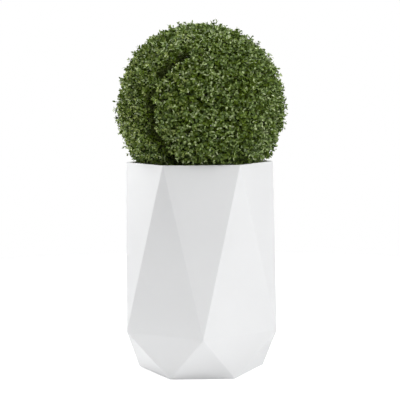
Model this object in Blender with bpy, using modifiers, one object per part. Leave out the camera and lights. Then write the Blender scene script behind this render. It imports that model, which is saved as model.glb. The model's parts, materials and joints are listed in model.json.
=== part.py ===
"""Potted boxwood ball topiary: a clipped ball of foliage in a tall faceted planter.

Four solids: the planter, the potting soil in it, the shrub's short stem, and the ball of foliage.
Metres, +Z up. The origin is the centre of the planter's flat underside, and a corner of the
planter's belt points to the front, along -Y.
"""

import math

import bmesh
import bpy
import numpy as np
from mathutils import Matrix, Vector
from mathutils.bvhtree import BVHTree

SEED = 41
GAP = 0.0003

# Planter: a rim, a belt and a foot of six corners each, the belt turned by half a side.
SIDES = 6
PLANTER_HEIGHT = 0.610
RIM_RADIUS = 0.215
BELT_RADIUS = 0.2485
BELT_HEIGHT = 0.131
FOOT_RADIUS = 0.185
WALL = 0.004
EDGE_ROUND = 0.0012
FACET_ANGLE = math.radians(6)
FLAT_TO_CORNER = math.cos(math.pi / SIDES)

# Soil: its top lies below the rim, and its sides stay clear of the planter's wall.
SOIL_TOP = PLANTER_HEIGHT - 0.092
SOIL_SIDE_GAP = 0.0010

# Stem: a flat cut on the soil, a root flare and a slow taper.
STEM_HEIGHT = 0.072
STEM_TOP_RADIUS = 0.014
STEM_TAPER = 0.004
FLARE = 0.012
FLARE_HEIGHT = 0.016
STEM_LEAN = math.radians(3)
STEM_LEVELS = 7
STEM_STEPS = 16

# Foliage ball: its clipped surface, and the core that the twigs stand out of.
BALL_RADIUS = 0.2480
BALL_CENTRE = Vector((0, 0, 0.774))
BALL_SAG = 0.004
BALL_SWELL = 0.004
CORE_RADIUS = 0.216
CORE_FLOOR = PLANTER_HEIGHT - 0.012
INNER_STEM_RADIUS = 0.013
REACH = 0.258
LOWEST_POLAR = math.radians(141)
MOUTH_GAP = 0.0015
MOUTH_ROOM = RIM_RADIUS * FLAT_TO_CORNER - WALL - MOUTH_GAP
BALL_WAVES = (
    (Vector((0.6, -0.3, 0.9)), 2.4, 0.4),
    (Vector((-0.9, -0.4, 0.3)), 3.6, 2.2),
    (Vector((0.2, 0.9, -0.5)), 4.7, 4.1),
)

# Sprigs: a twig and two crossed pairs of leaves, each of which stands for a spray of small ones.
# From LEAF_WIDTH to TWIG_LENGTH, a size is a share of the leaf's length.
SPRIG_COUNT = 200
SPRIG_SHIFT = 0.02
SPRIG_LEAN = 0.22
SPRIG_DEPTHS = (0.020, 0.028)
LEAF_LENGTH = 0.041
LEAF_SIZES = (0.96, 1.06)
LEAVES = 4
PAIR_OPENINGS = (math.radians(68), math.radians(42))
LEAF_WIDTH = 0.64
LEAF_SHOULDER = 0.56
NOTCH = 0.17
NOTCH_RISE = 0.05
ROSETTE_THICK = 0.085
TWIG_THICK = 0.07
TWIG_LENGTH = 0.9
SPRIG_SPAN = 2.2 * LEAF_LENGTH
ROSETTE_ROOM = 0.016
SHRINK = 0.02
TRIES = 12
GOLDEN_TURN = math.pi * (3 - math.sqrt(5))


def clear_scene():
    """Removes every object, so that the script starts from nothing."""
    for old in list(bpy.data.objects):
        bpy.data.objects.remove(old, do_unlink=True)


def new_collection(name):
    """A collection linked to the scene."""
    group = bpy.data.collections.new(name)
    bpy.context.scene.collection.children.link(group)
    return group


def new_material(name, colour, roughness, metallic=0.0):
    """A Principled material of one colour."""
    material = bpy.data.materials.new(name)
    material.use_nodes = True
    shader = material.node_tree.nodes["Principled BSDF"]
    shader.inputs["Base Color"].default_value = (*colour, 1)
    shader.inputs["Roughness"].default_value = roughness
    shader.inputs["Metallic"].default_value = metallic
    return material


def new_object(name, shape, group, material=None):
    """An object of a mesh, or of a bmesh that this frees, in a collection."""
    mesh = shape
    if isinstance(shape, bmesh.types.BMesh):
        mesh = bpy.data.meshes.new(name)
        shape.to_mesh(mesh)
        shape.free()
    made = bpy.data.objects.new(name, mesh)
    group.objects.link(made)
    if material:
        mesh.materials.append(material)
    return made


def evaluated_mesh(source):
    """A mesh of an object with its modifiers applied."""
    return bpy.data.meshes.new_from_object(source.evaluated_get(bpy.context.evaluated_depsgraph_get()))


def ring(bm, radius, height, half_turns):
    """Six corners on a circle, the first on +X or, for one half turn, halfway to the next."""
    step = 2 * math.pi / SIDES
    angles = (step * (i + half_turns / 2) for i in range(SIDES))
    return [bm.verts.new((radius * math.cos(a), radius * math.sin(a), height)) for a in angles]


def facets(bm, straight, turned):
    """Triangles between a ring and the one turned by half a side."""
    for i in range(SIDES):
        after = (i + 1) % SIDES
        bm.faces.new((straight[i], straight[after], turned[i]))
        bm.faces.new((turned[i], turned[after], straight[after]))


def faceted_body(inset, floor, top):
    """The planter's faceted form, drawn in by inset: open at the rim, or cut and closed at a lower top."""
    bm = bmesh.new()
    corner_inset = inset / FLAT_TO_CORNER
    rim = ring(bm, RIM_RADIUS - corner_inset, PLANTER_HEIGHT, 0)
    belt = ring(bm, BELT_RADIUS - corner_inset, BELT_HEIGHT, 1)
    foot = ring(bm, FOOT_RADIUS - corner_inset, floor, 0)
    facets(bm, rim, belt)
    facets(bm, foot, belt)
    bm.faces.new(foot)
    if top < PLANTER_HEIGHT:
        parts = [*bm.verts, *bm.edges, *bm.faces]
        bmesh.ops.bisect_plane(bm, geom=parts, plane_co=(0, 0, top), plane_no=(0, 0, 1), clear_outer=True)
        bmesh.ops.holes_fill(bm, edges=bm.edges, sides=0)
    bmesh.ops.recalc_face_normals(bm, faces=bm.faces)
    return bm


def make_planter(group):
    """The open planter: one faceted skin with a wall, and slightly rounded edges."""
    white = new_material("planter_white", (0.82, 0.82, 0.81), 0.38)
    planter = new_object("planter", faceted_body(0, 0, PLANTER_HEIGHT), group, white)
    wall = planter.modifiers.new("wall", "SOLIDIFY")
    wall.thickness = WALL
    wall.offset = -1
    wall.use_even_offset = True
    edges = planter.modifiers.new("rounded_edges", "BEVEL")
    edges.width = EDGE_ROUND
    edges.segments = 2
    edges.limit_method = "ANGLE"
    edges.angle_limit = FACET_ANGLE
    return planter


def make_soil(group):
    """The potting soil, which fills the planter to below its rim."""
    brown = new_material("soil", (0.045, 0.030, 0.020), 0.95)
    body = faceted_body(WALL + SOIL_SIDE_GAP, WALL + GAP, SOIL_TOP)
    return new_object("soil", body, group, brown)


def stem_radius(height):
    """A straight taper with a root flare that dies away from the soil up."""
    taper = STEM_TAPER * (1 - height / STEM_HEIGHT)
    return STEM_TOP_RADIUS + taper + FLARE * math.exp(-height / FLARE_HEIGHT)


def make_stem(group):
    """The short stem, a turned profile that leans a little, cut flat where it meets the soil."""
    bark = new_material("stem_bark", (0.23, 0.18, 0.12), 0.9)
    heights = [STEM_HEIGHT * (1 - i / STEM_LEVELS) for i in range(STEM_LEVELS + 1)]
    outline = [(0, STEM_HEIGHT), *((stem_radius(h), h) for h in heights), (0, 0)]
    bm = bmesh.new()
    corners = [bm.verts.new((x, 0, z)) for x, z in outline]
    for upper, lower in zip(corners, corners[1:]):
        bm.edges.new((upper, lower))
    stem = new_object("stem", bm, group, bark)
    turn = stem.modifiers.new("turned", "SCREW")
    turn.steps = STEM_STEPS
    turn.render_steps = STEM_STEPS
    turn.use_merge_vertices = True
    turn.merge_threshold = 0.0001
    shear = Matrix.Identity(4)
    shear[0][2] = math.tan(STEM_LEAN)
    made = evaluated_mesh(stem)
    made.transform(Matrix.Translation((0, 0, SOIL_TOP + GAP)) @ shear)
    bpy.data.objects.remove(stem)
    finished = new_object("stem", made, group)
    made.shade_smooth()
    made.set_sharp_from_angle(angle=math.radians(40))
    return finished


def clip_radius(direction):
    """The clipped surface's distance from the ball's centre: a sphere, fuller below, with slow waves."""
    waves = sum(math.sin(rate * axis.dot(direction) + phase) for axis, rate, phase in BALL_WAVES)
    return BALL_RADIUS - BALL_SAG * direction.z + BALL_SWELL * waves / len(BALL_WAVES)


def golden_direction(index, count, shift):
    """Direction number index of an even spiral over the ball's sphere, moved by a small shift."""
    height = 1 - 2 * (index + 0.5) / count
    across = math.sqrt(1 - height * height)
    turn = GOLDEN_TURN * index
    return (Vector((across * math.cos(turn), across * math.sin(turn), height)) + shift).normalized()


def flat_reach(point):
    """How far a point lies from the axis, measured towards the planter's nearest flat."""
    angles = (math.pi * (2 * i + 1) / SIDES for i in range(SIDES))
    return max(point.x * math.cos(a) + point.y * math.sin(a) for a in angles)


def has_room(points):
    """True if a piece keeps to the ball's reach and, below the rim, to the planter's mouth."""
    if any((p - BALL_CENTRE).length > REACH for p in points):
        return False
    lowest = min(p.z for p in points)
    if lowest > PLANTER_HEIGHT + MOUTH_GAP:
        return True
    return lowest > SOIL_TOP + MOUTH_GAP and max(map(flat_reach, points)) < MOUTH_ROOM


def drawn_in(point):
    """A rosette's place, moved towards the axis where it would meet the planter's wall."""
    reach = flat_reach(point)
    if point.z > PLANTER_HEIGHT + ROSETTE_ROOM or reach <= MOUTH_ROOM - ROSETTE_ROOM:
        return point
    scale = (MOUTH_ROOM - ROSETTE_ROOM) / reach
    return Vector((point.x * scale, point.y * scale, point.z))


def leaf_outline(number):
    """A leaf's shoulder, tip and far shoulder, and the notch before it, in leaf lengths."""
    opening = PAIR_OPENINGS[number % 2]
    outward = Matrix.Rotation(math.tau * number / LEAVES, 3, "Z") @ Vector((1, 0, 0))
    aside = Vector((-outward.y, outward.x, 0))
    tip = outward * math.sin(opening) + Vector((0, 0, math.cos(opening)))
    shoulder = tip * LEAF_SHOULDER
    half_width = aside * LEAF_WIDTH / 2
    return (outward - aside).normalized(), (shoulder - half_width, tip, shoulder + half_width)


def sprig_mesh():
    """A square twig along +Z that ends at the origin in two crossed pairs of leaves of unit length.

    The outline runs by a notch, a shoulder, a tip and a shoulder for each leaf. A point above the
    middle closes its upper side, and the twig's corners, one below each notch, its under side.
    """
    bm = bmesh.new()
    crown = bm.verts.new((0, 0, ROSETTE_THICK))
    notches, leaves, upper, lower = [], [], [], []
    for number in range(LEAVES):
        between, outline = leaf_outline(number)
        leaves.append([bm.verts.new(place) for place in outline])
        notches.append(bm.verts.new(between * NOTCH + Vector((0, 0, NOTCH_RISE))))
        upper.append(bm.verts.new(between * TWIG_THICK - Vector((0, 0, ROSETTE_THICK))))
        lower.append(bm.verts.new(between * TWIG_THICK - Vector((0, 0, TWIG_LENGTH))))
    for number, (near, tip, far) in enumerate(leaves):
        after = (number + 1) % LEAVES
        edge = [notches[number], near, tip, far, notches[after]]
        corners = [upper[number], upper[number], upper[after], upper[after]]
        for first, second, corner in zip(edge, edge[1:], corners):
            bm.faces.new((first, second, crown))
            bm.faces.new((second, first, corner))
        bm.faces.new((upper[number], upper[after], tip))
        bm.faces.new((upper[number], lower[number], lower[after], upper[after]))
    bm.faces.new(lower)
    bmesh.ops.recalc_face_normals(bm, faces=bm.faces)
    mesh = bpy.data.meshes.new("sprig")
    bm.to_mesh(mesh)
    bm.free()
    return mesh


def placed(axis, across, at, size):
    """A matrix that sets a mesh's +Z on axis and its +X near across, at a point, at a size."""
    forward = axis.normalized()
    normal = forward.cross(across).normalized()
    turn = Matrix((normal.cross(forward), normal, forward)).transposed().to_4x4()
    return Matrix.Translation(at) @ turn @ Matrix.Scale(size, 4)


def corners_of(mesh, matrix):
    """A placed mesh's vertices in the part's frame."""
    return [matrix @ v.co for v in mesh.vertices]


def make_core(group):
    """The ball's dense inner core: a faceted sphere, cut flat below."""
    bm = bmesh.new()
    bmesh.ops.create_icosphere(bm, subdivisions=2, radius=CORE_RADIUS, matrix=Matrix.Translation(BALL_CENTRE))
    parts = [*bm.verts, *bm.edges, *bm.faces]
    bmesh.ops.bisect_plane(bm, geom=parts, plane_co=(0, 0, CORE_FLOOR), plane_no=(0, 0, -1), clear_outer=True)
    bmesh.ops.holes_fill(bm, edges=bm.edges, sides=0)
    bmesh.ops.recalc_face_normals(bm, faces=bm.faces)
    return new_object("foliage_ball", bm, group)


def make_inner_stem(group):
    """The stem's upper end, which belongs to the ball and meets the stem below it with a gap."""
    foot = SOIL_TOP + GAP + STEM_HEIGHT + GAP
    length = BALL_CENTRE.z - CORE_RADIUS / 2 - foot
    middle = Vector((math.tan(STEM_LEAN) * STEM_HEIGHT, 0, foot + length / 2))
    radii = {"radius1": INNER_STEM_RADIUS, "radius2": INNER_STEM_RADIUS / 2}
    bm = bmesh.new()
    bmesh.ops.create_cone(bm, segments=8, depth=length, cap_ends=True, **radii)
    bmesh.ops.translate(bm, verts=bm.verts, vec=middle)
    new_object("inner_stem", bm, group)


def tree_of(mesh, matrix):
    """A search tree of a placed mesh's faces."""
    faces = [tuple(face.vertices) for face in mesh.polygons]
    return BVHTree.FromPolygons(corners_of(mesh, matrix), faces)


def crosses(tree, at, grown):
    """True if a sprig's search tree meets one of those grown near it."""
    return any(tree.overlap(other) for place, other in grown if (place - at).length < SPRIG_SPAN)


def grow_sprigs(group):
    """Sprigs in an even spiral round the ball. One that finds no room, turned or smaller, is skipped."""
    rng = np.random.default_rng(SEED)
    shifts = rng.uniform(-SPRIG_SHIFT, SPRIG_SHIFT, (SPRIG_COUNT, 3))
    leans = rng.uniform(-SPRIG_LEAN, SPRIG_LEAN, (SPRIG_COUNT, 3))
    depths = rng.uniform(*SPRIG_DEPTHS, SPRIG_COUNT)
    sprig = sprig_mesh()
    grown = []
    for index, depth in enumerate(depths):
        lean = Vector(leans[index])
        direction = golden_direction(index, SPRIG_COUNT, Vector(shifts[index]))
        if direction.z < math.cos(LOWEST_POLAR):
            continue
        middle = drawn_in(BALL_CENTRE + direction * (clip_radius(direction) - depth))
        for attempt in range(TRIES):
            across = Vector(rng.uniform(-1, 1, 3))
            size = LEAF_LENGTH * (rng.uniform(*LEAF_SIZES) - attempt * SHRINK)
            where = placed(direction + lean * (1 - attempt / TRIES), across, middle, size)
            tree = tree_of(sprig, where)
            if has_room(corners_of(sprig, where)) and not crosses(tree, middle, grown):
                new_object("sprig", sprig, group).matrix_world = where
                grown.append((middle, tree))
                break


def whole_body(mesh):
    """Keeps a mesh's largest outer shell, without loose scraps or the walls of sealed hollows."""
    bm = bmesh.new()
    bm.from_mesh(mesh)
    bmesh.ops.triangulate(bm, faces=bm.faces)
    left = dict.fromkeys(bm.verts)
    shells = []
    while left:
        found = [left.popitem()[0]]
        for vertex in found:
            near = [v for edge in vertex.link_edges for v in edge.verts if v in left]
            for other in near:
                left.pop(other, None)
            found.extend(dict.fromkeys(near))
        shells.append(found)
    keep = max(shells, key=len)
    bmesh.ops.delete(bm, geom=[v for s in shells if s is not keep for v in s], context="VERTS")
    bm.to_mesh(mesh)
    bm.free()


def make_foliage(group):
    """The clipped ball: core, inner stem, twigs and leaves, joined by one union."""
    green = new_material("foliage_green", (0.060, 0.115, 0.030), 0.5)
    pieces = new_collection("foliage_pieces")
    ball = make_core(group)
    make_inner_stem(pieces)
    grow_sprigs(pieces)
    union = ball.modifiers.new("fused", "BOOLEAN")
    union.operation = "UNION"
    union.operand_type = "COLLECTION"
    union.collection = pieces
    union.solver = "MANIFOLD"
    fused = evaluated_mesh(ball)
    ball.modifiers.remove(union)
    ball.data = fused
    for piece in list(pieces.objects):
        bpy.data.objects.remove(piece)
    bpy.data.collections.remove(pieces)
    whole_body(fused)
    fused.materials.clear()
    fused.materials.append(green)
    return ball


def main():
    """Builds the planter, the soil, the stem and the foliage ball."""
    clear_scene()
    topiary = new_collection("boxwood_ball_topiary")
    make_planter(topiary)
    make_soil(topiary)
    make_stem(topiary)
    make_foliage(topiary)


main()
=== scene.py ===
"""Looks of a potted boxwood ball topiary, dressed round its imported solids.

A tall white faceted planter holds a clipped ball of small glossy leaves. The leaves grow on
twigs that branch by one seeded rule from a short stem. Metres, +Z up, with the origin at the
centre of the planter's flat underside and the planter's front towards -Y.
"""

import json
import logging
import math
from dataclasses import dataclass, field
from enum import Enum

import bpy
import numpy as np
from mathutils import Matrix

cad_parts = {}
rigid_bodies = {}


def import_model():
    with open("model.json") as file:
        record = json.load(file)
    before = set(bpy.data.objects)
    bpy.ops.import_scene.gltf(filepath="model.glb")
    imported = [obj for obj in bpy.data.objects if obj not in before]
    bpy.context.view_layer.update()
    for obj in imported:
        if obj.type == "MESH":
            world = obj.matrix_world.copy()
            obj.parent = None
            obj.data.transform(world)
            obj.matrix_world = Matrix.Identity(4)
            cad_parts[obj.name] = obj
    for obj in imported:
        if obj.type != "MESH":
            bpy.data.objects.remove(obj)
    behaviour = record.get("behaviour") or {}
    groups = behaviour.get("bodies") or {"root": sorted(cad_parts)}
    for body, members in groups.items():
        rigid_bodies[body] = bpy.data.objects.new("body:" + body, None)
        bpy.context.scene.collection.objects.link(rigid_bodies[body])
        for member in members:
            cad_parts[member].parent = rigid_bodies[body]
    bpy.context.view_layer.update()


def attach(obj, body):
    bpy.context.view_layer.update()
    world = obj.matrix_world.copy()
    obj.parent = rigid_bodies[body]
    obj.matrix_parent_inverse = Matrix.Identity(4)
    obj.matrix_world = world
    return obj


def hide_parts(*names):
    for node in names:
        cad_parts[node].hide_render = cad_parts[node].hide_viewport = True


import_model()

LOG = logging.getLogger("topiary")
BODY = "root"
SEED = 41
GOLDEN_TURN = math.pi * (3 - math.sqrt(5))
SHORTEST = 1e-12
NEAR_AXIS = 1e-6
COLOUR_SOCKET = "NodeSocketColor"
VALUE_SOCKET = "NodeSocketFloat"
MID_GREY = (0.5, 0.5, 0.5, 1.0)

Array = np.ndarray
Random = np.random.Generator
Colour = tuple[float, float, float]
GrownOrder = tuple[Array, Array, int]


def unit(vectors: Array) -> Array:
    """Vectors at length one.

    Args:
        vectors: an array whose last axis holds x, y and z.

    Returns:
        The same vectors, each divided by its length.
    """
    return vectors / np.maximum(np.linalg.norm(vectors, axis=-1, keepdims=True), SHORTEST)


def directions(azimuths: Array, elevations: Array) -> Array:
    """Unit vectors at angles: (cos e sin a, -cos e cos a, sin e).

    Args:
        azimuths: degrees from the front towards +X.
        elevations: degrees upwards.

    Returns:
        The vectors, with x, y and z on the last axis.
    """
    turn, rise = np.radians(azimuths), np.radians(elevations)
    flat = np.cos(rise)
    return np.stack([flat * np.sin(turn), -flat * np.cos(turn), np.sin(rise)], axis=-1)


def golden_spiral(count: int) -> Array:
    """Even directions over a sphere.

    Point i lies at height 1 - 2 (i + 1/2) / count, turned by i golden angles.

    Args:
        count: how many directions.

    Returns:
        Unit vectors, one row each.
    """
    index = np.arange(count)
    height = 1 - 2 * (index + 0.5) / count
    across = np.sqrt(1 - height**2)
    turn = GOLDEN_TURN * index
    return np.stack([across * np.cos(turn), across * np.sin(turn), height], axis=-1)


@dataclass(frozen=True)
class Noise:
    """Smooth random values: how many lattice cells to a unit of length, which lattice, how strong."""

    scale: float
    seed: int
    share: float = 1.0
    cells: int = 32

    def at(self, points: Array) -> Array:
        """Values from 0 to the share: the lattice's random numbers, eased between its corners.

        At a part p of the way across a cell the ease is p squared times 3 - 2 p.

        Args:
            points: places, with x, y and z on the last axis.

        Returns:
            One value for each point.
        """
        lattice = np.random.default_rng(self.seed).random((self.cells,) * 3)
        cell = np.floor(points * self.scale).astype(int)
        part = points * self.scale - cell
        ease = part * part * (3 - 2 * part)
        value = np.zeros(points.shape[:-1])
        for corner in np.ndindex(2, 2, 2):
            step = np.array(corner)
            weight = np.prod(np.where(step == 1, ease, 1 - ease), axis=-1)
            x, y, z = np.moveaxis((cell + step) % self.cells, -1, 0)
            value += weight * lattice[x, y, z]
        return self.share * value


def mesh_piece(name: str, vertices: Array, faces: list[Array], smooth: bool = True) -> bpy.types.Object:
    """An object of whole arrays.

    Args:
        name: the piece's name.
        vertices: places, one row each.
        faces: arrays of vertex numbers, one array for each count of corners.
        smooth: whether its faces are shaded smooth.

    Returns:
        The object, linked to the scene.
    """
    corners = np.concatenate([group.ravel() for group in faces]).astype(np.int32)
    sizes = np.concatenate([np.full(len(group), group.shape[1]) for group in faces])
    starts = np.concatenate([[0], np.cumsum(sizes)[:-1]]).astype(np.int32)
    mesh = bpy.data.meshes.new(name)
    mesh.vertices.add(len(vertices))
    mesh.vertices.foreach_set("co", np.asarray(vertices, np.float32).ravel())
    mesh.loops.add(len(corners))
    mesh.loops.foreach_set("vertex_index", corners)
    mesh.polygons.add(len(sizes))
    mesh.polygons.foreach_set("loop_start", starts)
    mesh.polygons.foreach_set("use_smooth", np.full(len(sizes), smooth))
    mesh.update(calc_edges=True)
    piece = bpy.data.objects.new(name, mesh)
    bpy.context.scene.collection.objects.link(piece)
    return piece


def grid_faces(rows: int, columns: int) -> Array:
    """Quads between the rows of a grid whose columns close into a ring.

    Args:
        rows: rows of the grid.
        columns: corners in each row.

    Returns:
        Vertex numbers, four for each face.
    """
    row, column = np.meshgrid(np.arange(rows - 1), np.arange(columns), indexing="ij")
    here, after = row * columns + column, row * columns + (column + 1) % columns
    return np.stack([here, after, after + columns, here + columns], axis=-1).reshape(-1, 4)


def ring_caps(rows: int, columns: int) -> Array:
    """The two faces that close the first and the last row of a ring grid, facing outwards."""
    ring = np.arange(columns)
    return np.stack([ring[::-1], (rows - 1) * columns + ring])


def tubes(paths: Array, radii: Array, sides: int) -> tuple[Array, list[Array]]:
    """Closed tubes carried along paths.

    At each station a ring of corners stands square to the path, at the station's radius, and
    both ends are closed by a cap.

    Args:
        paths: stations of each path, shaped (paths, stations, 3).
        radii: the radius at each station, shaped (paths, stations).
        sides: corners in each ring.

    Returns:
        The vertices, and the faces by count of corners.
    """
    count, stations = paths.shape[:2]
    forward = unit(np.gradient(paths, axis=1))
    least = np.abs(forward.mean(axis=1)).argmin(axis=-1)
    aside = np.eye(3)[least][:, None, :]
    normal = unit(np.cross(forward, aside))
    other = np.cross(forward, normal)
    turn = 2 * np.pi * np.arange(sides) / sides
    ring = normal[:, :, None, :] * np.cos(turn)[:, None] + other[:, :, None, :] * np.sin(turn)[:, None]
    vertices = paths[:, :, None, :] + ring * radii[:, :, None, None]
    first = (np.arange(count) * stations * sides)[:, None]
    quads = (first[..., None] + grid_faces(stations, sides)[None]).reshape(-1, 4)
    caps = (ring_caps(stations, sides)[:, None] + first[None]).reshape(-1, sides)
    return vertices.reshape(-1, 3), [quads, caps]


def set_inputs(node: bpy.types.Node, values: dict[str, object]) -> None:
    """Sets a node's inputs, each by its name."""
    for label, value in values.items():
        node.inputs[label].default_value = value


def plain_to_camera(tree: bpy.types.NodeTree, value: bpy.types.NodeSocket) -> bpy.types.NodeSocket:
    """A value that lights the object as it is, and that a camera ray finds at one.

    Args:
        tree: the node tree that the value belongs to.
        value: the value's output socket.

    Returns:
        The output socket of the mixed value.
    """
    ray = tree.nodes.new("ShaderNodeLightPath")
    mix = tree.nodes.new("ShaderNodeMix")
    set_inputs(mix, {"B": 1.0})
    tree.links.new(value, mix.inputs["A"])
    tree.links.new(ray.outputs["Is Camera Ray"], mix.inputs["Factor"])
    return mix.outputs["Result"]


class NodeKit:
    """Shared shader node groups, each built once and placed in many materials."""

    mottle_detail = 3.0
    mottle_span = (0.3, 0.7)
    grain_detail = 2.0

    def __init__(self) -> None:
        """Builds the groups."""
        self.mottle = self._mottle_group()
        self.grain = self._grain_group()

    @staticmethod
    def _new_group(name: str, inputs: dict[str, object], outputs: dict[str, str]) -> bpy.types.NodeTree:
        """A node group with named sockets.

        Args:
            name: the group's name.
            inputs: socket name to its default, a number or a colour.
            outputs: socket name to its type.

        Returns:
            The group, with its input and output nodes.
        """
        group = bpy.data.node_groups.new(name, "ShaderNodeTree")
        for label, default in inputs.items():
            kind = COLOUR_SOCKET if isinstance(default, tuple) else VALUE_SOCKET
            socket = group.interface.new_socket(name=label, in_out="INPUT", socket_type=kind)
            socket.default_value = default
        for label, kind in outputs.items():
            group.interface.new_socket(name=label, in_out="OUTPUT", socket_type=kind)
        group.nodes.new("NodeGroupInput").name = "in"
        group.nodes.new("NodeGroupOutput").name = "out"
        return group

    def _mottle_group(self) -> bpy.types.NodeTree:
        """Colour that drifts between two tones, with a mask of where it lies.

        The mask is a noise texture, stretched to run from (1 - contrast) / 2 to (1 + contrast) / 2.

        Returns:
            The group, with the outputs Color and Mask.
        """
        inputs = {"Tone A": MID_GREY, "Tone B": MID_GREY, "Scale": 10.0, "Contrast": 0.5}
        group = self._new_group("mottle", inputs, {"Color": COLOUR_SOCKET, "Mask": VALUE_SOCKET})
        nodes, links = group.nodes, group.links
        source, out = nodes["in"], nodes["out"]
        place = nodes.new("ShaderNodeTexCoord")
        noise = nodes.new("ShaderNodeTexNoise")
        set_inputs(noise, {"Detail": self.mottle_detail})
        spread = nodes.new("ShaderNodeMapRange")
        set_inputs(spread, {"From Min": self.mottle_span[0], "From Max": self.mottle_span[1]})
        mix = nodes.new("ShaderNodeMix")
        mix.data_type = "RGBA"
        links.new(place.outputs["Object"], noise.inputs["Vector"])
        links.new(source.outputs["Scale"], noise.inputs["Scale"])
        links.new(noise.outputs["Fac"], spread.inputs["Value"])
        for end, half in (("To Min", -0.5), ("To Max", 0.5)):
            limit = nodes.new("ShaderNodeMath")
            limit.operation = "MULTIPLY_ADD"
            limit.inputs[1].default_value, limit.inputs[2].default_value = half, 0.5
            links.new(source.outputs["Contrast"], limit.inputs[0])
            links.new(limit.outputs[0], spread.inputs[end])
        links.new(spread.outputs["Result"], mix.inputs["Factor"])
        links.new(source.outputs["Tone A"], mix.inputs["A"])
        links.new(source.outputs["Tone B"], mix.inputs["B"])
        links.new(mix.outputs["Result"], out.inputs["Color"])
        links.new(spread.outputs["Result"], out.inputs["Mask"])
        return group

    def _grain_group(self) -> bpy.types.NodeTree:
        """A height of fine grain laid over a slower swell.

        Returns:
            The group, with the output Height.
        """
        inputs = {"Fine Scale": 400.0, "Slow Scale": 30.0, "Fine Share": 0.5}
        group = self._new_group("grain", inputs, {"Height": VALUE_SOCKET})
        nodes, links = group.nodes, group.links
        source, out = nodes["in"], nodes["out"]
        place = nodes.new("ShaderNodeTexCoord")
        mix = nodes.new("ShaderNodeMix")
        for label, socket in (("Slow Scale", "A"), ("Fine Scale", "B")):
            noise = nodes.new("ShaderNodeTexNoise")
            set_inputs(noise, {"Detail": self.grain_detail})
            links.new(place.outputs["Object"], noise.inputs["Vector"])
            links.new(source.outputs[label], noise.inputs["Scale"])
            links.new(noise.outputs["Fac"], mix.inputs[socket])
        links.new(source.outputs["Fine Share"], mix.inputs["Factor"])
        links.new(mix.outputs["Result"], out.inputs["Height"])
        return group


@dataclass(frozen=True)
class Finish:
    """How one surface looks: two tones that drift into each other, its gloss and its relief.

    A scale is in noise cells to a metre, and the relief is the height of the grain in metres.
    """

    name: str
    tone_a: Colour
    tone_b: Colour
    mottle_scale: float
    mottle_contrast: float
    roughness: tuple[float, float]
    fine_scale: float
    slow_scale: float
    fine_share: float
    relief: float
    specular: float = 0.5

    def material(self, kit: NodeKit) -> bpy.types.Material:
        """The finish as a node material.

        Args:
            kit: the shared node groups.

        Returns:
            A Principled material.
        """
        material = bpy.data.materials.new(self.name)
        material.use_nodes = True
        nodes, links = material.node_tree.nodes, material.node_tree.links
        shader = nodes["Principled BSDF"]
        set_inputs(shader, {"Specular IOR Level": self.specular})
        mottle = nodes.new("ShaderNodeGroup")
        mottle.node_tree = kit.mottle
        set_inputs(mottle, {"Tone A": (*self.tone_a, 1), "Tone B": (*self.tone_b, 1)})
        set_inputs(mottle, {"Scale": self.mottle_scale, "Contrast": self.mottle_contrast})
        gloss = nodes.new("ShaderNodeMapRange")
        set_inputs(gloss, {"To Min": self.roughness[0], "To Max": self.roughness[1]})
        grain = nodes.new("ShaderNodeGroup")
        grain.node_tree = kit.grain
        set_inputs(grain, {"Fine Scale": self.fine_scale, "Slow Scale": self.slow_scale})
        set_inputs(grain, {"Fine Share": self.fine_share})
        bump = nodes.new("ShaderNodeBump")
        set_inputs(bump, {"Strength": 1.0, "Distance": self.relief})
        links.new(mottle.outputs["Color"], shader.inputs["Base Color"])
        links.new(mottle.outputs["Mask"], gloss.inputs["Value"])
        links.new(gloss.outputs["Result"], shader.inputs["Roughness"])
        links.new(grain.outputs["Height"], bump.inputs["Height"])
        links.new(bump.outputs["Normal"], shader.inputs["Normal"])
        return material


PLANTER_FINISH = Finish(
    name="planter_satin_white",
    tone_a=(0.785, 0.790, 0.797),
    tone_b=(0.812, 0.817, 0.824),
    mottle_scale=6.0,
    mottle_contrast=0.6,
    roughness=(0.36, 0.44),
    fine_scale=900.0,
    slow_scale=60.0,
    fine_share=0.6,
    relief=0.00004,
)
SOIL_FINISH = Finish(
    name="potting_soil",
    tone_a=(0.020, 0.013, 0.008),
    tone_b=(0.060, 0.040, 0.025),
    mottle_scale=120.0,
    mottle_contrast=1.0,
    roughness=(0.85, 1.0),
    fine_scale=700.0,
    slow_scale=150.0,
    fine_share=0.5,
    relief=0.002,
)
BARK_FINISH = Finish(
    name="stem_bark",
    tone_a=(0.16, 0.12, 0.075),
    tone_b=(0.30, 0.25, 0.17),
    mottle_scale=90.0,
    mottle_contrast=1.0,
    roughness=(0.75, 0.95),
    fine_scale=600.0,
    slow_scale=120.0,
    fine_share=0.5,
    relief=0.0012,
)
TWIG_FINISH = Finish(
    name="twig_bark",
    tone_a=(0.040, 0.048, 0.012),
    tone_b=(0.085, 0.092, 0.026),
    mottle_scale=60.0,
    mottle_contrast=0.8,
    roughness=(0.6, 0.8),
    fine_scale=800.0,
    slow_scale=200.0,
    fine_share=0.5,
    relief=0.0003,
)


@dataclass(frozen=True)
class LeafTone:
    """A leaf's base colour, its roughness and its specular level, and how far it varies."""

    colour: Colour
    roughness: float
    specular: float
    darker: float = 0.7
    lighter: float = 1.35
    glossier: float = 0.05
    duller: float = 0.08


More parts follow.
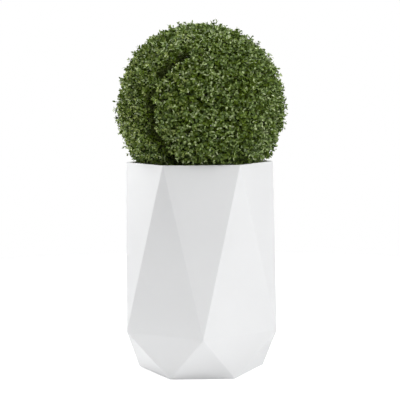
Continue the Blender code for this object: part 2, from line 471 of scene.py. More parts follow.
class LeafShade(Enum):
    """The shades of leaves: painted shade for the seam, deep green (also painted shade within), young and
    lighter at the tips (partly painted highlight), olive to the left.
    """

    # Painted shade: the dark of the seam's recess, dealt as a colour to the leaves sunk deepest in it.
    OLD = LeafTone((0.052, 0.068, 0.014), 0.50, 0.10)
    # Deep green: a sprig's own shade, and also painted shade for leaves low on their sprigs and at the seam's
    # edge.
    DEEP = LeafTone((0.086, 0.133, 0.007), 0.42, 0.15)
    BLUISH = LeafTone((0.104, 0.163, 0.034), 0.30, 0.35)
    MIDDLE = LeafTone((0.140, 0.204, 0.034), 0.30, 0.32)
    # Fresh and young shades go to the outer and tip leaves: lighter young growth, and a painted highlight.
    FRESH = LeafTone((0.226, 0.308, 0.096), 0.28, 0.42)
    YOUNG = LeafTone((0.385, 0.462, 0.215), 0.28, 0.48)
    OLIVE = LeafTone((0.272, 0.338, 0.088), 0.30, 0.36)

    @property
    def number(self) -> int:
        """The shade's place in the list of shades."""
        return list(type(self)).index(self)

    def finish(self) -> Finish:
        """The shade's finish: its colour, which varies a little from leaf to leaf.

        Returns:
            The finish, named for the shade.
        """
        tone = self.value
        return Finish(
            name=f"leaf_{self.name.lower()}",
            tone_a=tuple(part * tone.darker for part in tone.colour),
            tone_b=tuple(part * tone.lighter for part in tone.colour),
            mottle_scale=110.0,
            mottle_contrast=1.0,
            roughness=(tone.roughness - tone.glossier, tone.roughness + tone.duller),
            fine_scale=900.0,
            slow_scale=250.0,
            fine_share=0.4,
            relief=0.0002,
            specular=tone.specular,
        )


@dataclass
class FacetedPlanter:
    """The tall planter: rings of six corners at rim, belt and foot, joined by triangular facets."""

    sides: int = 6
    height: float = 0.610
    rim_radius: float = 0.215
    belt_radius: float = 0.2485
    belt_height: float = 0.131
    foot_radius: float = 0.185
    wall: float = 0.004
    edge_round: float = 0.0019
    edge_steps: int = 4
    facet_angle: float = math.radians(6)
    least_facing: float = 0.05

    @property
    def flat_to_corner(self) -> float:
        """A flat's distance from the axis, as a share of a corner's."""
        return math.cos(math.pi / self.sides)

    @property
    def mouth_flat(self) -> float:
        """From the axis to the wall's inner face at the rim's flats."""
        return self.rim_radius * self.flat_to_corner - self.wall

    def rings(self, inset: float = 0.0) -> Array:
        """The corners: radius (cos a, sin a) at each height, the belt turned by half a side.

        Args:
            inset: how far inside the outer facets.

        Returns:
            The corners of the rim, the belt and the foot.
        """
        radii = np.array([self.rim_radius, self.belt_radius, self.foot_radius]) - inset / self.flat_to_corner
        heights = np.array([self.height, self.belt_height, inset])
        belt_turned = np.array([0, 0.5, 0])[:, None]
        turn = 2 * np.pi * (np.arange(self.sides)[None] + belt_turned) / self.sides
        flat = radii[:, None, None] * np.stack([np.cos(turn), np.sin(turn)], axis=-1)
        places = np.concatenate([flat, np.broadcast_to(heights[:, None, None], (3, self.sides, 1))], axis=-1)
        return places.reshape(-1, 3)

    def facets(self) -> Array:
        """The triangles between the rings, wound to face outwards.

        Returns:
            Numbers of the rings' corners, three for each facet.
        """
        here = np.arange(self.sides)
        after = (here + 1) % self.sides
        rim, belt, foot = here, here + self.sides, here + 2 * self.sides
        rim_after, belt_after, foot_after = after, after + self.sides, after + 2 * self.sides
        rows = [
            (rim, belt, rim_after),
            (belt, belt_after, rim_after),
            (foot, foot_after, belt),
            (belt, foot_after, belt_after),
        ]
        return np.concatenate([np.stack(row, axis=-1) for row in rows])

    def radius_at(self, angles: Array, heights: Array, inset: float) -> Array:
        """The wall's distance from the axis: the nearest facet plane's, for each angle and height.

        Args:
            angles: turns about the axis, in radians.
            heights: heights, of the same shape.
            inset: how far inside the outer facets.

        Returns:
            The radius at each pair of angle and height.
        """
        corners = self.rings()[self.facets()]
        normals = unit(np.cross(corners[:, 1] - corners[:, 0], corners[:, 2] - corners[:, 0]))
        offsets = (normals * corners[:, 0]).sum(axis=-1) - inset
        outward = np.stack([np.cos(angles), np.sin(angles)], axis=-1)
        facing = outward @ normals[:, :2].T
        room = offsets - heights[..., None] * normals[:, 2]
        met = facing > self.least_facing
        return np.where(met, room / np.maximum(facing, self.least_facing), np.inf).min(axis=-1)

    def build(self, kit: NodeKit) -> bpy.types.Object:
        """The shell: rounded facets, a wall and a rounded lip.

        Args:
            kit: the shared node groups.

        Returns:
            The planter's piece.
        """
        here = np.arange(self.sides)
        after = (here + 1) % self.sides
        inner = 3 * self.sides
        foot = (here[::-1] + 2 * self.sides)[None]
        lip = np.stack([here, after, inner + after, inner + here], axis=-1)
        skins = [self.facets(), foot, inner + self.facets()[:, ::-1], inner + foot[:, ::-1], lip]
        shell = mesh_piece("planter_shell", np.concatenate([self.rings(), self.rings(self.wall)]), skins)
        edges = shell.modifiers.new("rounded_edges", "BEVEL")
        edges.width = self.edge_round
        edges.segments = self.edge_steps
        edges.limit_method = "ANGLE"
        edges.angle_limit = self.facet_angle
        edges.harden_normals = True
        shell.data.materials.append(PLANTER_FINISH.material(kit))
        return shell


@dataclass
class Soil:
    """The potting mix inside the planter: a crumbled top and plain sides."""

    planter: FacetedPlanter
    top: float = 0.518
    floor: float = 0.0043
    inset: float = 0.0052
    crumb: float = 0.006
    crumb_layers: tuple[Noise, ...] = (Noise(90, seed=3, share=0.6), Noise(260, seed=4, share=0.4))
    turns: int = 120
    rings: int = 44
    levels: int = 9

    def build(self, kit: NodeKit) -> bpy.types.Object:
        """The soil: side rings that follow the wall, and top rings whose height crumbles.

        The top's height is its level less a share of two layers of smooth noise.

        Args:
            kit: the shared node groups.

        Returns:
            The soil's piece.
        """
        angle = 2 * np.pi * np.arange(self.turns) / self.turns
        height = np.linspace(self.floor, self.top - self.crumb, self.levels)
        angles, heights = np.meshgrid(angle, height)
        radius = self.planter.radius_at(angles, heights, self.inset)
        share = np.linspace(1, 0, self.rings + 1)[:-1][:, None]
        edge = self.planter.radius_at(angle, np.full(self.turns, self.top), self.inset)
        radius = np.concatenate([radius, share * edge])
        angles = np.concatenate([angles, np.broadcast_to(angle, (self.rings, self.turns))])
        flat = radius[..., None] * np.stack([np.cos(angles), np.sin(angles)], axis=-1)
        bed = np.concatenate([flat, np.zeros((*radius.shape, 1))], axis=-1)
        crumbs = sum(layer.at(bed) for layer in self.crumb_layers)
        bed[: self.levels, :, 2] = heights
        bed[self.levels :, :, 2] = self.top - self.crumb * crumbs[self.levels :]
        rows = self.levels + self.rings
        faces = [grid_faces(rows, self.turns), ring_caps(rows, self.turns)]
        piece = mesh_piece("soil_bed", bed.reshape(-1, 3), faces)
        piece.data.materials.append(SOIL_FINISH.material(kit))
        return piece


@dataclass
class Stem:
    """The shrub's short stem, with a root flare, a slow taper and ridged bark."""

    foot: float = 0.5183
    height: float = 0.072
    top_radius: float = 0.014
    taper: float = 0.004
    flare: float = 0.012
    flare_height: float = 0.016
    lean: float = math.radians(3)
    roots: int = 5
    root_share: float = 0.25
    root_skew: float = 0.8
    ridge_depth: float = 0.0014
    ridge_layers: tuple[Noise, ...] = (Noise(5, seed=7, share=0.65), Noise(13, seed=8, share=0.35))
    ridge_stretch: float = 12.0
    turns: int = 72
    levels: int = 48

    @property
    def top(self) -> Array:
        """Where the stem ends and the boughs part."""
        return np.array([math.tan(self.lean) * self.height, 0.0, self.foot + self.height])

    def build(self, kit: NodeKit) -> bpy.types.Object:
        """The stem: its radius is the taper plus a lobed flare, less ridges of smooth noise.

        Args:
            kit: the shared node groups.

        Returns:
            The stem's piece.
        """
        turn = 2 * np.pi * np.arange(self.turns) / self.turns
        angle, height = np.meshgrid(turn, np.linspace(0, self.height, self.levels))
        lobes = np.cos(self.roots * angle + self.root_skew * np.sin(angle))
        lobes = 1 - self.root_share + self.root_share * lobes
        radius = self.top_radius + self.taper * (1 - height / self.height)
        radius = radius + self.flare * np.exp(-height / self.flare_height) * lobes
        around = np.stack([np.cos(angle), np.sin(angle), height * self.ridge_stretch], axis=-1)
        radius = radius - self.ridge_depth * sum(layer.at(around) for layer in self.ridge_layers)
        lean = math.tan(self.lean) * height
        x, y = lean + radius * np.cos(angle), radius * np.sin(angle)
        vertices = np.stack([x, y, self.foot + height], axis=-1)
        faces = [grid_faces(self.levels, self.turns), ring_caps(self.levels, self.turns)]
        piece = mesh_piece("stem_trunk", vertices.reshape(-1, 3), faces)
        piece.data.materials.append(BARK_FINISH.material(kit))
        return piece


@dataclass(frozen=True)
class Wave:
    """A slow wave over the ball: the sine of a rate times the reach along an axis, plus a phase."""

    axis: tuple[float, float, float]
    rate: float
    phase: float


@dataclass(frozen=True)
class Hollow:
    """A small hollow at an azimuth and an elevation, or a swelling where its depth is negative."""

    azimuth: float
    elevation: float
    width: float
    depth: float


@dataclass(frozen=True)
class ClippedSurface:
    """The ball's clipped surface: a waved sphere, with a seam down its left front and hollows.

    The seam's rows are azimuth, elevation and share of its depth. Widths are on a sphere of
    radius one.
    """

    radius: float = 0.2480
    sag: float = 0.004
    swell: float = 0.004
    waves: tuple[Wave, ...] = (
        Wave((0.6, -0.3, 0.9), 2.4, 0.4),
        Wave((-0.9, -0.4, 0.3), 3.6, 2.2),
        Wave((0.2, 0.9, -0.5), 4.7, 4.1),
    )
    seam: tuple[tuple[float, float, float], ...] = (
        (-9, 45, 0.12),
        (-20, 34, 0.75),
        (-28, 26, 0.7),
        (-33, 19, 0.2),
        (-38, 11, 0.22),
        (-37, 4, 1.0),
        (-37, -2, 1.0),
        (-37, -8, 0.75),
        (-37, -15, 1.0),
        (-33, -22, 0.95),
        (-31, -29, 0.95),
        (-28, -35, 0.6),
        (-22, -40, 0.45),
    )
    seam_stations: int = 80
    seam_depth: float = 0.026
    seam_width: float = 0.061
    seam_narrowest: float = 0.7
    seam_wobble: Noise = Noise(14, seed=12, share=0.6)
    seam_power: int = 4
    hollows: tuple[Hollow, ...] = (
        Hollow(23.6, 0.5, 0.05, 0.016),
        Hollow(9.4, 25.5, 0.04, 0.012),
        Hollow(-0.1, -18.0, 0.05, 0.016),
        Hollow(8.8, 1.9, 0.04, 0.012),
        Hollow(-88.0, 17.0, 0.25, 0.011),
        Hollow(0.0, 84.0, 0.40, 0.005),
        Hollow(90.0, 0.0, 0.55, -0.003),
        Hollow(90.0, 15.0, 0.10, -0.004),
        Hollow(90.0, -14.0, 0.12, -0.003),
        Hollow(90.0, 75.0, 0.12, -0.004),
        Hollow(-90.0, 75.0, 0.12, -0.003),
    )

    def clip_radius(self, outward: Array) -> Array:
        """The surface's distance from the centre: a sphere, fuller below, with the slow waves."""
        waves = sum(np.sin(wave.rate * (outward @ np.array(wave.axis)) + wave.phase) for wave in self.waves)
        return self.radius - self.sag * outward[..., 2] + self.swell * waves / len(self.waves)

    def seam_sink(self, outward: Array) -> Array:
        """How far the surface sinks in the seam, a trough of uneven depth along a line.

        At a distance d from the line it is the depth times exp(-(d / width)^4), with a width
        that wobbles.

        Args:
            outward: directions from the ball's centre.

        Returns:
            One depth for each direction.
        """
        turn, rise, share = np.array(self.seam).T
        station = np.linspace(0, len(self.seam) - 1, self.seam_stations)
        rows = np.arange(len(self.seam))
        turn, rise, share = (np.interp(station, rows, row) for row in (turn, rise, share))
        gap = np.sqrt(np.maximum(0, 2 - 2 * (outward @ directions(turn, rise).T)))
        width = self.seam_width * (self.seam_narrowest + self.seam_wobble.at(outward))
        trough = np.exp(-((gap.min(axis=-1) / width) ** self.seam_power))
        return self.seam_depth * share[gap.argmin(axis=-1)] * trough

    def hollow_sink(self, outward: Array) -> Array:
        """How far the surface sinks in its hollows: depth times exp(-(d / width)^2) for each.

        Args:
            outward: directions from the ball's centre.

        Returns:
            One depth for each direction.
        """
        sink = np.zeros(outward.shape[:-1])
        for hollow in self.hollows:
            middle = directions(np.array(hollow.azimuth), np.array(hollow.elevation))
            away = np.linalg.norm(outward - middle, axis=-1)
            sink += hollow.depth * np.exp(-((away / hollow.width) ** 2))
        return sink


@dataclass(frozen=True)
class Leaf:
    """One leaf's blade, in shares of its length: an oval, folded along its rib and curled down."""

    width: float = 0.58
    fold: float = 0.14
    curl: float = 0.14
    roundness: float = 0.55
    stations: tuple[float, ...] = (0.14, 0.53, 0.9)
    quads: tuple[tuple[int, ...], ...] = ((1, 4, 5, 2), (2, 5, 6, 3), (4, 7, 8, 5), (5, 8, 9, 6))
    triangles: tuple[tuple[int, ...], ...] = ((0, 1, 2), (0, 2, 3), (7, 10, 8), (8, 10, 9))

    def grid(self) -> Array:
        """The blade's eleven vertices, along x from the root and facing +z.

        At u along the leaf its half width is sin(pi u) to the power of its roundness, times half
        its width. The edges rise by the fold, and the whole drops by the curl times u squared.

        Returns:
            The vertices, one row each.
        """
        u = np.concatenate([[0], np.repeat(self.stations, 3), [1]])
        v = np.concatenate([[0], np.tile([-1, 0, 1], 3), [0]])
        half = 0.5 * self.width * np.abs(np.sin(np.pi * u)) ** self.roundness * v
        return np.stack([u, half, self.fold * np.abs(half) * 2 - self.curl * u**2], axis=-1)

    def faces(self) -> list[Array]:
        """The blade's faces, by count of corners."""
        return [np.array(self.quads), np.array(self.triangles)]


@dataclass(frozen=True)
class LeafRow:
    """How leaves stand on one order of twigs: how many pairs, over which share, how long."""

    pairs: int
    span: tuple[float, float]
    length: float


@dataclass(frozen=True)
class Order:
    """One order of branching: how many limbs, how thick, how smooth, and how far out they end.

    Limbs near the rim keep the margin from the wall. An order without a radius of its own ends
    near the clipped surface.
    """

    count: int
    base: float
    tip: float
    sides: int
    stations: int
    margin: float
    radius: float | None = None


@dataclass(frozen=True)
class ShadeRule:
    """How the shades are dealt out: by a lot for each sprig, which drifts slowly over the ball.

    A level is a share of the sprig's length, and the warm shares are of the sprigs.
    """

    drift: Noise = Noise(3.2, seed=21)
    drift_offset: float = 3.0
    drift_share: float = 0.5
    lot_spread: float = 0.2
    lot_steps: tuple[float, float] = (0.38, 0.6)
    # Leaves below this level are dealt deep green: older leaves, and painted shade for the canopy's inside.
    inner_level: float = 0.65
    # Leaves beyond these levels are dealt lighter shades: young growth, and a painted highlight on the
    # outermost leaves.
    outer_level: float = 0.8
    tip_level: float = 0.95
    outer_share: float = 0.5
    warm_middle: float = 0.1
    warm_left: float = 0.75
    # Painted light: sprigs lower than this are dealt one shade lighter, to brighten the leaves just above the
    # rim.
    painted_light_below: float = -0.56
    # Painted shade of the seam: sprigs sunk past the edge are dealt deep green, and past the floor the seam's
    # darkest colour.
    sunk_edge: float = 0.006
    sunk_floor: float = 0.008

    def deal(self, rng: Random, outward: Array, owner: Array, level: Array, sunk: Array) -> Array:
        """The shade of each leaf.

        A sprig's lot gives its own shade. Its tip leaves are two shades lighter, and half of the next
        ones one shade lighter: young growth, and a painted highlight. Those far down are deep: older
        leaves, and painted shade. Some sprigs turn olive, more of them to the left. Low sprigs are a
        shade lighter as painted light, and the seam gets painted shade.

        Args:
            rng: the ball's random numbers.
            outward: each sprig's direction.
            owner: the sprig of each leaf.
            level: how far along its sprig each leaf stands.
            sunk: how far each sprig sinks in the seam.

        Returns:
            Numbers into the list of shades.
        """
        drift = self.drift.at(outward + self.drift_offset)
        lot = self.drift_share * (drift - 0.5) + rng.normal(0.5, self.lot_spread, len(outward))
        own = (LeafShade.DEEP.number + np.searchsorted(self.lot_steps, lot))[owner]
        # Lighter shades at the tips: young growth, and a painted highlight where the outer leaves catch the
        # light.
        shade = np.where(level > self.tip_level, own + 2, own)
        outer = (level > self.outer_level) & (level < self.tip_level)
        shade = np.where(outer & (rng.random(len(level)) < self.outer_share), own + 1, shade)
        # Deep green for leaves low on their sprig: older leaves, and painted shade for the canopy's inside.
        shade = np.where(level < self.inner_level, LeafShade.DEEP.number, shade)
        warm = (rng.random(len(outward)) < self.warm_middle - self.warm_left * outward[:, 0])[owner]
        shade = np.where(warm & (shade >= LeafShade.FRESH.number), LeafShade.OLIVE.number, shade)
        shade = np.where(warm & (shade == LeafShade.BLUISH.number), LeafShade.MIDDLE.number, shade)
        # Painted light: low sprigs are dealt one shade lighter, to brighten the shaded leaves above the rim.
        low = (outward[:, 2] < self.painted_light_below)[owner] & (shade < LeafShade.MIDDLE.number)
        shade = np.where(low, shade + 1, shade)
        # Painted shade in the seam: the leaves of sunk sprigs are dealt dark colours.
        sunk = sunk[owner]
        shade = np.where(sunk > self.sunk_edge, np.minimum(shade, LeafShade.DEEP.number), shade)
        return np.where(sunk > self.sunk_floor, LeafShade.OLD.number, shade)


@dataclass
class FoliageBall:
    """The clipped ball: boughs, limbs and twigs that branch outwards, and leaves in crossed pairs.

    A shift is on a sphere of radius one, a lean in lengths of a unit vector, and an angle in
    degrees. The sprigs' surface is settled and clipped in a little from the source's.
    """

    planter: FacetedPlanter
    stem: Stem
    surface: ClippedSurface = ClippedSurface()
    centre: tuple[float, float, float] = (0.0, 0.0, 0.774)
    reach: float = 0.2620
    lowest_polar: float = 141.0
    wall_gap: float = 0.0008
    soil_level: float = 0.521
    boughs: Order = Order(14, base=0.0065, tip=0.0042, sides=7, stations=7, margin=0.03, radius=0.085)
    limbs: Order = Order(200, base=0.0032, tip=0.0019, sides=5, stations=6, margin=0.017)
    branches: Order = Order(1200, base=0.0016, tip=0.0011, sides=4, stations=4, margin=0.03, radius=0.203)
    sprigs: Order = Order(4100, base=0.0009, tip=0.0005, sides=3, stations=4, margin=0.006)
    limb_shift: float = 0.02
    limb_lean: float = 0.22
    limb_depths: tuple[float, float] = (0.020, 0.028)
    fine_shift: float = 0.018
    fine_lean: float = 0.28
    fork_span: tuple[float, float] = (0.55, 1.0)
    bend_share: float = 0.55
    settle: tuple[float, float, float] = (0.0025, 0.0, -0.0038)
    clip_in: float = 0.0043
    trim: float = 0.012
    trim_power: float = 1.3
    clump: float = 0.005
    clump_noise: Noise = Noise(26.0, seed=15)
    stray_share: float = 0.09
    stray_length: float = 0.012
    leaf: Leaf = Leaf()
    outer_row: LeafRow = LeafRow(pairs=5, span=(0.44, 1.0), length=0.0132)
    inner_row: LeafRow = LeafRow(pairs=6, span=(0.25, 1.0), length=0.0145)
    openings: tuple[float, float] = (76.0, 40.0)
    opening_spread: float = 0.24
    roll_spread: float = 0.25
    roll_reference: tuple[float, float, float] = (0.31, 0.17, 0.93)
    twist_spread: float = 0.14
    face_spread: float = 0.5
    size_spread: tuple[float, float] = (0.78, 1.1)
    size_levels: tuple[float, ...] = (0.4, 0.7, 0.88, 1.0)
    size_shares: tuple[float, ...] = (0.9, 1.0, 0.95, 0.7)
    shades: ShadeRule = ShadeRule()
    rng: Random = field(default_factory=lambda: np.random.default_rng(SEED + 1))

    @property
    def lowest(self) -> float:
        """The least height of a direction that twigs grow along."""
        return math.cos(math.radians(self.lowest_polar))

    def flat_reach(self, points: Array) -> Array:
        """How far points lie from the axis, measured towards the planter's nearest flat."""
        turn = math.pi * (2 * np.arange(self.planter.sides) + 1) / self.planter.sides
        return (points[..., :2] @ np.stack([np.cos(turn), np.sin(turn)])).max(axis=-1)

    def drawn_in(self, points: Array, margin: float) -> Array:
        """Points near or below the rim, moved towards the axis where they would meet the wall.

        Args:
            points: places, one row each.
            margin: how far they keep from the wall, and how far above the rim this reaches.

        Returns:
            The places.
        """
        room = self.planter.mouth_flat - margin
        scale = np.minimum(1, room / np.maximum(self.flat_reach(points), NEAR_AXIS))
        low = points[..., 2] < self.planter.height + margin
        return points * np.stack([np.where(low, scale, 1)] * 2 + [np.ones(low.shape)], axis=-1)

    def has_room(self, points: Array) -> Array:
        """Whether leaves keep to the ball's reach and, below the rim, to the planter's mouth.

        Args:
            points: the vertices of each leaf, shaped (leaves, vertices, 3).

        Returns:
            True for each leaf that has room.
        """
        near = np.linalg.norm(points - self.centre, axis=-1).max(axis=-1) < self.reach
        lowest = points[..., 2].min(axis=-1)
        above = lowest > self.planter.height + self.wall_gap
        inside = self.flat_reach(points).max(axis=-1) < self.planter.mouth_flat - self.wall_gap
        return near & (above | (inside & (lowest > self.soil_level)))

    def grow_order(self, order: Order, ends: Array, starts: Array, outward: Array) -> tuple[Array, Array]:
        """Limbs as curves from a start to an end, which leave the end along its own direction.

        A limb's point at t is (1-t)^2 start + 2t(1-t) bend + t^2 end, and its bend lies below the
        end, along the outward direction.

        Args:
            order: the order of branching.
            ends: where the limbs end.
            starts: where they start.
            outward: the direction of each limb's tip.

        Returns:
            The stations of each limb, and their radii.
        """
        t = np.linspace(0, 1, order.stations)[None, :, None]
        length = np.linalg.norm(ends - starts, axis=-1, keepdims=True)
        bend = ends - outward * length * self.bend_share
        paths = (1 - t) ** 2 * starts[:, None] + 2 * t * (1 - t) * bend[:, None] + t**2 * ends[:, None]
        radii = np.broadcast_to(order.base + (order.tip - order.base) * t[..., 0], paths.shape[:2])
        return paths, radii

    def limb_ends(self) -> tuple[Array, Array, Array]:
        """The source's rule: an even spiral with a seeded shift, lean and depth for each limb.

        Returns:
            The limbs' directions from the ball's centre, their ends, and the ways their tips point.
        """
        rng = np.random.default_rng(SEED)
        count = self.limbs.count
        shifts = rng.uniform(-self.limb_shift, self.limb_shift, (count, 3))
        leans = rng.uniform(-self.limb_lean, self.limb_lean, (count, 3))
        depths = rng.uniform(*self.limb_depths, count)
        outward = unit(golden_spiral(count) + shifts)
        far = self.surface.clip_radius(outward) - depths
        ends = self.drawn_in(np.array(self.centre) + outward * far[:, None], self.limbs.margin)
        tips = unit(outward + leans)
        kept = outward[:, 2] >= self.lowest
        return outward[kept], ends[kept], tips[kept]

    def fine_ends(self, order: Order) -> tuple[Array, Array, Array]:
        """The same rule carried to other orders: more points on the spiral, shifted and leaning.

        Args:
            order: the order of branching.

        Returns:
            Directions, ends and the ways the tips point.
        """
        shifts = self.rng.uniform(-1, 1, (order.count, 3)) * self.fine_shift
        outward = unit(golden_spiral(order.count) + shifts)
        outward = outward[outward[:, 2] > self.lowest]
        if order.radius is None:
            middle = np.add(self.centre, self.settle)
            far = self.trimmed_radius(outward)
        else:
            middle = np.array(self.centre)
            far = np.full(len(outward), order.radius)
        ends = self.drawn_in(middle + outward * far[:, None], order.margin)
        return outward, ends, unit(outward + self.rng.normal(0, self.fine_lean, outward.shape))

    def trimmed_radius(self, outward: Array) -> Array:
        """How far out sprigs end: near the clipped surface, less their trim, the seam and the hollows.

        Slow clumps swell and sink it a little, and a few strays stand proud of it.

        Args:
            outward: the sprigs' directions.

        Returns:
            The radius of each.
        """
        clumps = self.clump * (2 * self.clump_noise.at(outward * self.surface.radius) - 1)
        trim = self.trim * self.rng.random(len(outward)) ** self.trim_power
        stray = self.rng.random(len(outward)) < self.stray_share
        trim = np.where(stray, -self.stray_length * self.rng.random(len(outward)), trim)
        sink = self.surface.seam_sink(outward) + self.surface.hollow_sink(outward)
        return self.surface.clip_radius(outward) - self.clip_in + clumps - trim - sink

    def skeleton(self) -> tuple[list[GrownOrder], Array]:
        """All limbs, order by order, each of which forks from the nearest limb of the order before.

        Returns:
            Paths, radii and sides of each order, and the outward directions of the last.
        """
        parent_out = np.array([[0.0, 0.0, 1.0]])
        parent_paths = np.repeat(self.stem.top[None, None], 2, axis=1)
        grown = []
        for order in (self.boughs, self.limbs, self.branches, self.sprigs):
            outward, ends, tips = self.limb_ends() if order is self.limbs else self.fine_ends(order)
            nearest = (outward @ parent_out.T).argmax(axis=-1)
            fork = self.rng.uniform(*self.fork_span, len(outward)) * (parent_paths.shape[1] - 1)
            starts = parent_paths[nearest, np.rint(fork).astype(int)]
            paths, radii = self.grow_order(order, ends, starts, tips)
            grown.append((paths, radii, order.sides))
            parent_out, parent_paths = outward, paths
        return grown, outward

    def leaves(self, paths: Array, row: LeafRow) -> tuple[Array, Array, Array]:
        """Leaves in crossed pairs along each twig, up to its tip.

        A leaf leans from the twig by its opening, faces the tip, and each pair is turned by a
        quarter from the one before.

        Args:
            paths: the stations of each twig.
            row: how the leaves stand on a twig.

        Returns:
            The leaves' vertices, the twig that each one stands on, and how far along it.
        """
        (count, stations), pairs = paths.shape[:2], row.pairs
        along = np.linspace(*row.span, pairs)
        place = along * (stations - 1)
        low = np.minimum(place.astype(int), stations - 2)
        part = (place - low)[None, :, None]
        at = paths[:, low] * (1 - part) + paths[:, low + 1] * part
        forward = unit(paths[:, low + 1] - paths[:, low])
        roll = self.rng.uniform(0, 2 * np.pi, (count, 1)) + np.pi / 2 * np.arange(pairs)
        roll = (roll + self.rng.normal(0, self.roll_spread, roll.shape))[..., None]
        aside = unit(np.cross(forward, np.array(self.roll_reference)))
        side = aside * np.cos(roll) + np.cross(forward, aside) * np.sin(roll)
        opening = np.radians(np.linspace(*self.openings, pairs))[None, :, None, None]
        opening = opening + self.rng.normal(0, self.opening_spread, (count, pairs, 2, 1))
        hand = np.array([1.0, -1.0])[None, None, :, None]
        ahead = forward[:, :, None]
        x = unit(ahead * np.cos(opening) + side[:, :, None] * hand * np.sin(opening))
        x = unit(x + self.rng.normal(0, self.twist_spread, x.shape))
        faced = ahead + self.rng.normal(0, self.face_spread, x.shape)
        z = unit(faced - x * (faced * x).sum(axis=-1, keepdims=True))
        y = np.cross(z, x)
        taper = np.interp(along, self.size_levels, self.size_shares)[None, :, None]
        size = row.length * taper * self.rng.uniform(*self.size_spread, (count, pairs, 2))
        blade = self.leaf.grid()
        basis = np.stack([x, y, z], axis=-2) * size[..., None, None]
        vertices = at[:, :, None, None, :] + np.einsum("vk,cphkd->cphvd", blade, basis)
        owner = np.repeat(np.arange(count), pairs * 2)
        level = np.tile(np.repeat(along, 2), count)
        return vertices.reshape(-1, len(blade), 3), owner, level

    def build(self, kit: NodeKit) -> list[bpy.types.Object]:
        """The limbs, the twigs, a piece of leaves for each shade, and the leaves inside.

        Args:
            kit: the shared node groups.

        Returns:
            The pieces.
        """
        grown, outward = self.skeleton()
        pieces = [self._joined_tubes("boughs_and_limbs", grown[:-1]), self._joined_tubes("twigs", grown[-1:])]
        for piece, finish in zip(pieces, (BARK_FINISH, TWIG_FINISH)):
            piece.data.materials.append(finish.material(kit))
        vertices, owner, level = self.leaves(grown[-1][0], self.outer_row)
        shade = self.shades.deal(self.rng, outward, owner, level, self.surface.seam_sink(outward))
        inner = self.leaves(grown[-2][0], self.inner_row)[0]
        materials = {kind: kind.finish().material(kit) for kind in LeafShade}
        for kind, material in materials.items():
            chosen = vertices[shade == kind.number]
            pieces.append(self._joined_leaves(f"leaves_{kind.name.lower()}", chosen, material))
        pieces.append(self._joined_leaves("leaves_inside", inner, materials[LeafShade.MIDDLE]))
        return pieces

    def _joined_leaves(self, name: str, vertices: Array, material: bpy.types.Material) -> bpy.types.Object:
        """One piece of the leaves that have room.

        Args:
            name: the piece's name.
            vertices: each leaf's vertices.
            material: the piece's material.

        Returns:
            The piece.
        """
        kept = vertices[self.has_room(vertices)]
        first = (np.arange(len(kept)) * kept.shape[1])[:, None, None]
        joined = [(first + group[None]).reshape(-1, group.shape[1]) for group in self.leaf.faces()]
        piece = mesh_piece(name, kept.reshape(-1, 3), joined)
        piece.data.materials.append(material)
        LOG.info("%s: %d leaves", name, len(kept))
        return piece

    @staticmethod
    def _joined_tubes(name: str, orders: list[GrownOrder]) -> bpy.types.Object:
        """One piece of the tubes of several orders.

        Args:
            name: the piece's name.
            orders: paths, radii and sides of each order.

        Returns:
            The piece.
        """
        vertices, faces, first = [], [], 0
        for paths, radii, sides in orders:
            places, groups = tubes(paths, radii, sides)
            vertices.append(places)
            faces += [group + first for group in groups]
            first += len(places)
            LOG.info("%s: %d limbs of %d sides", name, len(paths), sides)
        return mesh_piece(name, np.concatenate(vertices), faces)


def turned_to(side: Array, above: Array, back: Array, place: Array) -> Matrix:
    """The matrix of an object whose x, y and z point along three unit vectors.

    Args:
        side: where its x points.
        above: where its y points.
        back: where its z points.
        place: where it stands.

    Returns:
        The matrix.
    """
    turned = np.eye(4)
    turned[:3] = np.stack([side, above, back, place], axis=-1)
    return Matrix(turned.tolist())


@dataclass(frozen=True)
class Softbox:
    """A lamp that faces the object.

    Its azimuth, from the front towards +X, and its elevation are in degrees, its power in watts.
    """

    name: str
    azimuth: float
    elevation: float
    distance: float
    size: tuple[float, float]
    power: float

    def build(self, aim: float) -> None:
        """Hangs the lamp.

        Args:
            aim: the height of the point on the axis that it faces.
        """
        light = bpy.data.lights.new(self.name, "AREA")
        light.shape = "RECTANGLE"
        light.size, light.size_y = self.size
        light.energy = self.power
        lamp = bpy.data.objects.new(self.name, light)
        away = directions(np.array(self.azimuth), np.array(self.elevation))
        side = unit(np.cross([0, 0, 1], away))
        place = self.distance * away + np.array([0, 0, aim])
        lamp.matrix_world = turned_to(side, np.cross(away, side), away, place)
        bpy.context.scene.collection.objects.link(lamp)


@dataclass(frozen=True)
class Viewpoint:
    """Where the picture was taken: distance and height, and heading, pitch and roll in radians."""

    distance: float = 3.142
    height: float = 0.786
    heading: float = -0.0244
    pitch: float = 0.0919
    roll: float = 0.007
    lens: float = 96.40
    sensor_width: float = 36.0

    def build(self) -> bpy.types.Object:
        """The camera, headed past the axis, pitched down and rolled slightly.

        Returns:
            The camera.
        """
        data = bpy.data.cameras.new("camera")
        data.lens = self.lens
        data.sensor_width = self.sensor_width
        camera = bpy.data.objects.new("camera", data)
        bpy.context.scene.collection.objects.link(camera)
        flat = np.array([-math.sin(self.heading), math.cos(self.heading), 0.0])
        level = np.array([flat[1], -flat[0], 0.0])
        ahead = math.cos(self.pitch) * flat - math.sin(self.pitch) * np.array([0, 0, 1])
        upright = np.cross(level, ahead)
        right = math.cos(self.roll) * level - math.sin(self.roll) * upright
        above = math.sin(self.roll) * level + math.cos(self.roll) * upright
        place = -self.distance * flat + np.array([0, 0, self.height])
        camera.matrix_world = turned_to(right, above, -ahead, place)
        return camera


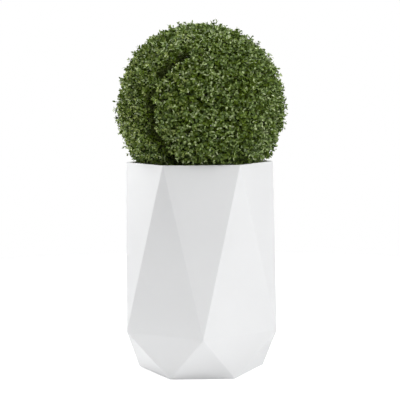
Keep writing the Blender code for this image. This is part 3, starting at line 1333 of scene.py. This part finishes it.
@dataclass
class Studio:
    """A white room with soft light from both sides and a weak frontal lamp, and the camera."""

    viewpoint: Viewpoint = Viewpoint()
    lamps: tuple[Softbox, ...] = (
        Softbox("softbox_left_low", -110.0, 28.0, 2.8, (1.8, 2.2), 40.0),
        Softbox("softbox_left_high", -108.0, 50.0, 2.8, (1.8, 1.8), 43.0),
        Softbox("softbox_right", 70.0, 30.0, 2.8, (1.6, 2.2), 46.0),
        Softbox("softbox_front_right", 40.0, 35.0, 2.8, (1.2, 1.2), 17.0),
        Softbox("softbox_front_left", -40.0, 50.0, 2.9, (1.3, 1.0), 16.0),
        Softbox("softbox_front", 0.0, 15.0, 3.3, (2.0, 1.4), 8.0),
        Softbox("softbox_top", 150.0, 76.0, 2.4, (1.2, 1.2), 20.0),
    )
    lamp_aim: float = 0.55
    sky_from: tuple[float, float] = (-1.0, 0.4)
    sky_to: tuple[float, float] = (0.0, 0.11)
    floor_radius: float = 2.4
    floor_sides: int = 96
    floor_white: float = 0.9
    floor_roughness: float = 0.8
    glow_from: tuple[float, float] = (0.5, 1.8)
    glow_to: tuple[float, float] = (0.26, 0.39)
    glow_strength: float = 0.57

    def build(self) -> None:
        """Builds the sky, the floor, the lamps and the camera."""
        scene = bpy.context.scene
        scene.view_settings.view_transform = "Standard"
        scene.view_settings.look = "None"
        self._world(scene)
        self._floor()
        for lamp in self.lamps:
            lamp.build(self.lamp_aim)
        scene.camera = self.viewpoint.build()

    def _world(self, scene: bpy.types.Scene) -> None:
        """A white sky, whose light fades out towards the camera's side of the room.

        Args:
            scene: the scene that it lights.
        """
        world = bpy.data.worlds.new("white_room")
        world.use_nodes = True
        nodes, links = world.node_tree.nodes, world.node_tree.links
        sky = nodes["Background"]
        set_inputs(sky, {"Color": (1, 1, 1, 1)})
        place = nodes.new("ShaderNodeTexCoord")
        split = nodes.new("ShaderNodeSeparateXYZ")
        fade = nodes.new("ShaderNodeMapRange")
        set_inputs(fade, {"From Min": self.sky_from[0], "From Max": self.sky_from[1]})
        set_inputs(fade, {"To Min": self.sky_to[0], "To Max": self.sky_to[1]})
        links.new(place.outputs["Generated"], split.inputs["Vector"])
        links.new(split.outputs["Y"], fade.inputs["Value"])
        links.new(plain_to_camera(world.node_tree, fade.outputs["Result"]), sky.inputs["Strength"])
        scene.world = world

    def _floor(self) -> None:
        """A plain white floor, which glows away from the planter and so meets the white room."""
        turn = 2 * np.pi * np.arange(self.floor_sides) / self.floor_sides
        edge = self.floor_radius * np.stack([np.cos(turn), np.sin(turn), 0 * turn], axis=-1)
        floor = mesh_piece("floor", edge, [np.arange(self.floor_sides)[None]], smooth=False)
        material = bpy.data.materials.new("white_floor")
        material.use_nodes = True
        nodes, links = material.node_tree.nodes, material.node_tree.links
        shader = nodes["Principled BSDF"]
        set_inputs(shader, {"Base Color": (*[self.floor_white] * 3, 1)})
        set_inputs(shader, {"Roughness": self.floor_roughness, "Emission Strength": self.glow_strength})
        place = nodes.new("ShaderNodeTexCoord")
        away = nodes.new("ShaderNodeVectorMath")
        away.operation = "LENGTH"
        glow = nodes.new("ShaderNodeMapRange")
        set_inputs(glow, {"From Min": self.glow_from[0], "From Max": self.glow_from[1]})
        set_inputs(glow, {"To Min": self.glow_to[0], "To Max": self.glow_to[1]})
        links.new(place.outputs["Object"], away.inputs[0])
        links.new(away.outputs["Value"], glow.inputs["Value"])
        seen = plain_to_camera(material.node_tree, glow.outputs["Result"])
        links.new(seen, shader.inputs["Emission Color"])
        floor.data.materials.append(material)


def dress(piece: bpy.types.Object, node: str) -> None:
    """Attaches a piece to the body that it rides on, and hides the node that it stands for.

    Args:
        piece: the piece.
        node: the node that it replaces.
    """
    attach(piece, BODY)
    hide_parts(node)
    LOG.info("%s: %d faces, for %s", piece.name, len(piece.data.polygons), node)


def corners(box: tuple) -> list[list[float]]:
    """A box as plain lists."""
    return [[round(value, 5) for value in corner] for corner in box]


def main() -> None:
    """Builds the studio, the planter, the soil, the stem and the foliage."""
    logging.basicConfig(level=logging.INFO, format="%(name)s: %(message)s")
    for name in [other.name for other in bpy.data.objects if other.name in ("Cube", "Light", "Camera")]:
        bpy.data.objects.remove(bpy.data.objects[name])
    Studio().build()
    kit = NodeKit()
    planter = FacetedPlanter()
    stem = Stem()
    dress(planter.build(kit), "planter")
    dress(Soil(planter).build(kit), "soil")
    dress(stem.build(kit), "stem")
    for piece in FoliageBall(planter, stem).build(kit):
        dress(piece, "foliage_ball")


if __name__ == "__main__":
    main()
